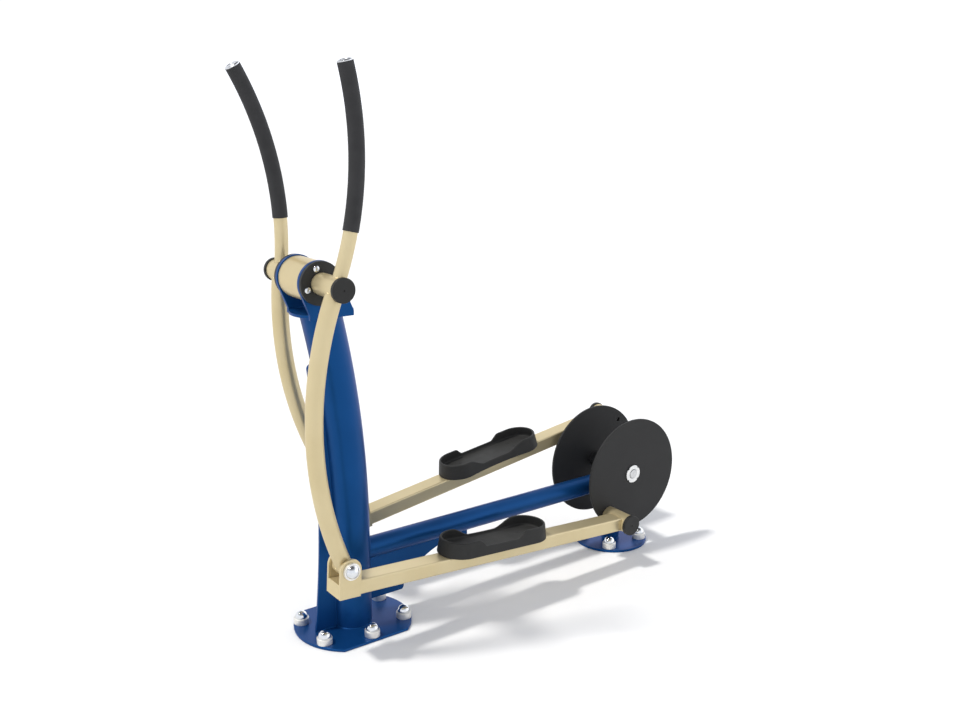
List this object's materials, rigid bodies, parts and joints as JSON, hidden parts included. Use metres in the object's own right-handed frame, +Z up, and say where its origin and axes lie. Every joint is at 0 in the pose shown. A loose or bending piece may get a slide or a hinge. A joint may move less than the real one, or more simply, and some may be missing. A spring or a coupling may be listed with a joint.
{
  "type": "outdoor cross trainer",
  "caption": "Park cross trainer: bent column with swinging grip levers, foot trays on long arms and a pair of crank disks on a rear post.",
  "frame": {"origin": "on the ground, under the middle of the column's base plate", "axes": "+X from the column back to the crank disks, +Y to the user's right, +Z up"},
  "size_m": [1.4633, 0.449, 1.6222],
  "materials": {
    "blue_paint": "glossy powder coat",
    "beige_paint": "satin powder coat",
    "black_paint": "fine-textured matt powder coat",
    "black_casting": "black painted casting",
    "chrome": "polished",
    "machined_steel": "turned",
    "zinc_steel": "zinc plated",
    "silver_plug": "satin",
    "black_plastic": "moulded",
    "pedal_plastic": "moulded, fine grain",
    "grip_rubber": "matt rubber sleeve",
    "bush_plastic": "moulded"
  },
  "bodies": {
    "frame": {"base_plate": "blue_paint", "rear_plate": "blue_paint", "anchor_caps": "chrome", "column_tube": "blue_paint", "column_fin": "blue_paint", "head_plate": "blue_paint", "right_ear": "blue_paint", "left_ear": "blue_paint", "pivot_drum": "beige_paint", "bearing_flanges": "black_casting", "flange_bolts": "chrome", "pivot_bearings": "machined_steel", "beam_tube": "blue_paint", "beam_gusset": "blue_paint", "rear_post": "blue_paint", "axle_housing": "blue_paint", "axle_bearings": "machined_steel"},
    "flywheel": {"crank_axle": "machined_steel", "axle_keys": "machined_steel", "right_disk": "black_paint", "left_disk": "black_paint", "axle_nuts": "zinc_steel"},
    "left_lever": {"left_lever_hub": "beige_paint", "left_lever_tube": "beige_paint", "left_handle_tube": "beige_paint", "left_grip": "grip_rubber", "left_handle_plug": "silver_plug", "left_pivot_cap": "black_plastic", "left_pivot_shaft": "machined_steel", "left_shaft_retainer": "machined_steel", "left_foot_sleeve": "beige_paint", "left_foot_bushes": "bush_plastic"},
    "left_arm": {"left_arm_tube": "beige_paint", "left_clevis_ears": "beige_paint", "left_clevis_pin": "chrome", "left_pedal": "pedal_plastic", "left_pedal_bolts": "black_paint", "left_crank_sleeve": "beige_paint", "left_crank_bushes": "bush_plastic", "left_crank_pin": "machined_steel", "left_crank_cap": "black_plastic"},
    "right_lever": {"right_lever_hub": "beige_paint", "right_lever_tube": "beige_paint", "right_handle_tube": "beige_paint", "right_grip": "grip_rubber", "right_handle_plug": "silver_plug", "right_pivot_cap": "black_plastic", "right_pivot_shaft": "machined_steel", "right_shaft_retainer": "machined_steel", "right_foot_sleeve": "beige_paint", "right_foot_bushes": "bush_plastic"},
    "right_arm": {"right_arm_tube": "beige_paint", "right_clevis_ears": "beige_paint", "right_clevis_pin": "chrome", "right_pedal": "pedal_plastic", "right_pedal_bolts": "black_paint", "right_crank_sleeve": "beige_paint", "right_crank_bushes": "bush_plastic", "right_crank_pin": "machined_steel", "right_crank_cap": "black_plastic"}
  },
  "joints": [
    {"name": "left_lever_swing", "type": "hinge", "parent": "frame", "child": "left_lever", "pos_m": [-0.104, 0, 1.05], "axis": [0, -1, 0], "range_deg": [-4.1, 19.9]},
    {"name": "right_lever_swing", "type": "hinge", "parent": "frame", "child": "right_lever", "pos_m": [-0.104, 0, 1.05], "axis": [0, -1, 0], "range_deg": [-19.9, 4.1]},
    {"name": "left_arm_hinge", "type": "hinge", "parent": "left_lever", "child": "left_arm", "pos_m": [-0.10856, -0.1625, 0.27501], "axis": [0, -1, 0], "range_deg": [-19.9, 4.1]},
    {"name": "right_arm_hinge", "type": "hinge", "parent": "right_lever", "child": "right_arm", "pos_m": [0.10303, 0.1625, 0.30317], "axis": [0, -1, 0], "range_deg": [-4.1, 19.9]},
    {"name": "flywheel_spin", "type": "hinge", "parent": "frame", "child": "flywheel", "pos_m": [1.039, 0, 0.272], "axis": [0, -1, 0], "continuous": true}
  ],
  "couplings": [
    {"joint": "right_lever_swing", "follows": "left_lever_swing", "ratio": -1},
    {"joint": "left_arm_hinge", "follows": "left_lever_swing", "ratio": -1},
    {"joint": "right_arm_hinge", "follows": "left_lever_swing", "ratio": 1},
    {"joint": "flywheel_spin", "follows": "left_lever_swing", "ratio": 7.5}
  ]
}
